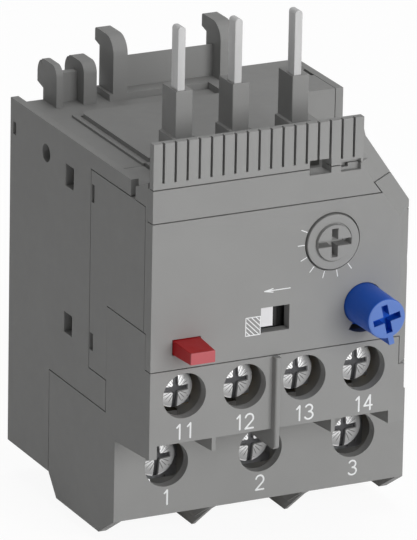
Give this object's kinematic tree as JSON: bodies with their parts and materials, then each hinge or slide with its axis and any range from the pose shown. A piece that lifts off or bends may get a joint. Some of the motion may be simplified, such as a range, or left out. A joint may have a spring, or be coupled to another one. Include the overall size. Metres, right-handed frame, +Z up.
{
  "type": "thermal overload relay",
  "caption": "Thermal overload relay that plugs under a contactor, with setting dial, reset knob, stop button and screw terminals.",
  "frame": {"origin": "under the middle of the whole relay, in the plane of the divider ribs that it stands on", "axes": "+Z up along the contact pins, -Y out of the front cover, +X to the right seen from the front"},
  "size_m": [0.045, 0.0552, 0.0763],
  "materials": {
    "housing_plastic": "fine moulded texture",
    "deck_plastic": "fine moulded texture",
    "cover_plastic": "fine moulded texture",
    "strip_plastic": "fine moulded texture",
    "comb_plastic": "fine moulded texture",
    "carrier_plastic": "fine moulded texture",
    "inner_plastic": "smooth",
    "dial_plastic": "smooth",
    "blue_plastic": "satin",
    "red_plastic": "satin",
    "white_plastic": "smooth",
    "contact_metal": "silver plated",
    "tinned_copper": "tinned, satin",
    "brass": "pressed",
    "heater_wire": "drawn wire",
    "bimetal": "rolled",
    "steel": "drawn",
    "plated_steel": "zinc plated",
    "screw_nickel": "nickel plated"
  },
  "bodies": {
    "housing": {"rear_housing": "housing_plastic", "top_deck": "deck_plastic", "mechanism_housing": "housing_plastic", "terminal_housing": "housing_plastic", "front_cover": "cover_plastic", "label_strip": "strip_plastic", "vent_comb": "comb_plastic", "pin_carrier": "carrier_plastic", "lever_pin": "steel", "reset_spring": "steel", "stop_spring": "steel", "return_spring": "steel", "contact_pin_1": "tinned_copper", "heater_coil_1": "heater_wire", "main_busbar_1": "brass", "contact_pin_2": "tinned_copper", "heater_coil_2": "heater_wire", "main_busbar_2": "brass", "contact_pin_3": "tinned_copper", "heater_coil_3": "heater_wire", "main_busbar_3": "brass", "aux_plate_1": "brass", "aux_plate_2": "brass", "aux_plate_3": "brass", "aux_plate_4": "brass"},
    "trip_slider": {"trip_slider": "inner_plastic"},
    "bimetal_strip_1": {"bimetal_strip_1": "bimetal"},
    "bimetal_strip_2": {"bimetal_strip_2": "bimetal"},
    "bimetal_strip_3": {"bimetal_strip_3": "bimetal"},
    "trip_lever": {"trip_lever": "inner_plastic"},
    "contact_carrier": {"contact_carrier": "inner_plastic", "closed_bridge": "contact_metal", "open_bridge": "contact_metal"},
    "setting_dial": {"setting_dial": "dial_plastic"},
    "reset_plunger": {"reset_plunger": "inner_plastic"},
    "reset_knob": {"reset_knob": "blue_plastic"},
    "stop_button": {"stop_button": "red_plastic"},
    "test_slide": {"test_slide": "white_plastic"},
    "main_clamp_1": {"main_clamp_1": "plated_steel"},
    "main_screw_1": {"main_screw_1": "screw_nickel"},
    "main_clamp_2": {"main_clamp_2": "plated_steel"},
    "main_screw_2": {"main_screw_2": "screw_nickel"},
    "main_clamp_3": {"main_clamp_3": "plated_steel"},
    "main_screw_3": {"main_screw_3": "screw_nickel"},
    "aux_clamp_1": {"aux_clamp_1": "plated_steel"},
    "aux_screw_1": {"aux_screw_1": "screw_nickel"},
    "aux_clamp_2": {"aux_clamp_2": "plated_steel"},
    "aux_screw_2": {"aux_screw_2": "screw_nickel"},
    "aux_clamp_3": {"aux_clamp_3": "plated_steel"},
    "aux_screw_3": {"aux_screw_3": "screw_nickel"},
    "aux_clamp_4": {"aux_clamp_4": "plated_steel"},
    "aux_screw_4": {"aux_screw_4": "screw_nickel"}
  },
  "joints": [
    {"name": "trip_slide", "type": "slide", "parent": "housing", "child": "trip_slider", "axis": [1, 0, 0], "range_m": [0, 0.0012], "stiffness_N_per_m": 300, "springref_m": -0.001, "deforming": ["return_spring"]},
    {"name": "bimetal_bend_1", "type": "hinge", "parent": "housing", "child": "bimetal_strip_1", "pos_m": [-0.0145, 0.01545, 0.0185], "axis": [0, 1, 0], "range_deg": [0, 2.8]},
    {"name": "bimetal_bend_2", "type": "hinge", "parent": "housing", "child": "bimetal_strip_2", "pos_m": [0, 0.01545, 0.0185], "axis": [0, 1, 0], "range_deg": [0, 2.8]},
    {"name": "bimetal_bend_3", "type": "hinge", "parent": "housing", "child": "bimetal_strip_3", "pos_m": [0.0145, 0.01545, 0.0185], "axis": [0, 1, 0], "range_deg": [0, 2.8]},
    {"name": "trip_lever_turn", "type": "hinge", "parent": "housing", "child": "trip_lever", "pos_m": [0.001, -0.00755, 0.0408], "axis": [0, 1, 0], "range_deg": [0, 16.8]},
    {"name": "contact_slide", "type": "slide", "parent": "housing", "child": "contact_carrier", "axis": [0, 0, -1], "range_m": [0, 0.00131]},
    {"name": "dial_turn", "type": "hinge", "parent": "housing", "child": "setting_dial", "pos_m": [0.00484, -0.02055, 0.04566], "axis": [0, 1, 0], "range_deg": [-124, 25]},
    {"name": "reset_push", "type": "slide", "parent": "housing", "child": "reset_plunger", "axis": [0, 1, 0], "range_m": [0, 0.0025], "stiffness_N_per_m": 400, "springref_m": -0.002, "deforming": ["reset_spring"]},
    {"name": "reset_mode_turn", "type": "hinge", "parent": "reset_plunger", "child": "reset_knob", "pos_m": [0.0099, -0.02055, 0.03595], "axis": [0, 1, 0], "range_deg": [0, 30]},
    {"name": "stop_push", "type": "slide", "parent": "housing", "child": "stop_button", "axis": [0, 1, 0], "range_m": [0, 0.0018], "stiffness_N_per_m": 500, "springref_m": -0.002, "deforming": ["stop_spring"]},
    {"name": "test_move", "type": "slide", "parent": "housing", "child": "test_slide", "axis": [1, 0, 0], "range_m": [0, 0.0022]},
    {"name": "main_clamp_1_slide", "type": "slide", "parent": "housing", "child": "main_clamp_1", "axis": [0, 1, 0], "range_m": [-0.0014, 0.0015]},
    {"name": "main_screw_1_turn", "type": "hinge", "parent": "main_clamp_1", "child": "main_screw_1", "pos_m": [-0.0145, -0.02055, 0.0122], "axis": [0, 1, 0], "range_deg": [-721, 773]},
    {"name": "main_clamp_2_slide", "type": "slide", "parent": "housing", "child": "main_clamp_2", "axis": [0, 1, 0], "range_m": [-0.0014, 0.0015]},
    {"name": "main_screw_2_turn", "type": "hinge", "parent": "main_clamp_2", "child": "main_screw_2", "pos_m": [0, -0.02055, 0.0122], "axis": [0, 1, 0], "range_deg": [-721, 773]},
    {"name": "main_clamp_3_slide", "type": "slide", "parent": "housing", "child": "main_clamp_3", "axis": [0, 1, 0], "range_m": [-0.0014, 0.0015]},
    {"name": "main_screw_3_turn", "type": "hinge", "parent": "main_clamp_3", "child": "main_screw_3", "pos_m": [0.0145, -0.02055, 0.0122], "axis": [0, 1, 0], "range_deg": [-721, 773]},
    {"name": "aux_clamp_1_slide", "type": "slide", "parent": "housing", "child": "aux_clamp_1", "axis": [0, 1, 0], "range_m": [-0.001, 0.001]},
    {"name": "aux_screw_1_turn", "type": "hinge", "parent": "aux_clamp_1", "child": "aux_screw_1", "pos_m": [-0.01726, -0.02055, 0.0264], "axis": [0, 1, 0], "range_deg": [-721, 721]},
    {"name": "aux_clamp_2_slide", "type": "slide", "parent": "housing", "child": "aux_clamp_2", "axis": [0, 1, 0], "range_m": [-0.001, 0.001]},
    {"name": "aux_screw_2_turn", "type": "hinge", "parent": "aux_clamp_2", "child": "aux_screw_2", "pos_m": [-0.00812, -0.02055, 0.0264], "axis": [0, 1, 0], "range_deg": [-721, 721]},
    {"name": "aux_clamp_3_slide", "type": "slide", "parent": "housing", "child": "aux_clamp_3", "axis": [0, 1, 0], "range_m": [-0.001, 0.001]},
    {"name": "aux_screw_3_turn", "type": "hinge", "parent": "aux_clamp_3", "child": "aux_screw_3", "pos_m": [0.00103, -0.02055, 0.0264], "axis": [0, 1, 0], "range_deg": [-721, 721]},
    {"name": "aux_clamp_4_slide", "type": "slide", "parent": "housing", "child": "aux_clamp_4", "axis": [0, 1, 0], "range_m": [-0.001, 0.001]},
    {"name": "aux_screw_4_turn", "type": "hinge", "parent": "aux_clamp_4", "child": "aux_screw_4", "pos_m": [0.01018, -0.02055, 0.0264], "axis": [0, 1, 0], "range_deg": [-721, 721]}
  ],
  "couplings": [
    {"joint": "bimetal_bend_1", "follows": "trip_slide", "rad_per_m": 39.526},
    {"joint": "bimetal_bend_2", "follows": "trip_slide", "rad_per_m": 39.526},
    {"joint": "bimetal_bend_3", "follows": "trip_slide", "rad_per_m": 39.526},
    {"joint": "trip_lever_turn", "follows": "trip_slide", "rad_per_m": 241.67},
    {"joint": "contact_slide", "follows": "trip_slide", "ratio": 1.0833},
    {"joint": "main_screw_1_turn", "follows": "main_clamp_1_slide", "rad_per_m": 8976},
    {"joint": "main_screw_2_turn", "follows": "main_clamp_2_slide", "rad_per_m": 8976},
    {"joint": "main_screw_3_turn", "follows": "main_clamp_3_slide", "rad_per_m": 8976},
    {"joint": "aux_screw_1_turn", "follows": "aux_clamp_1_slide", "rad_per_m": 12566},
    {"joint": "aux_screw_2_turn", "follows": "aux_clamp_2_slide", "rad_per_m": 12566},
    {"joint": "aux_screw_3_turn", "follows": "aux_clamp_3_slide", "rad_per_m": 12566},
    {"joint": "aux_screw_4_turn", "follows": "aux_clamp_4_slide", "rad_per_m": 12566}
  ]
}
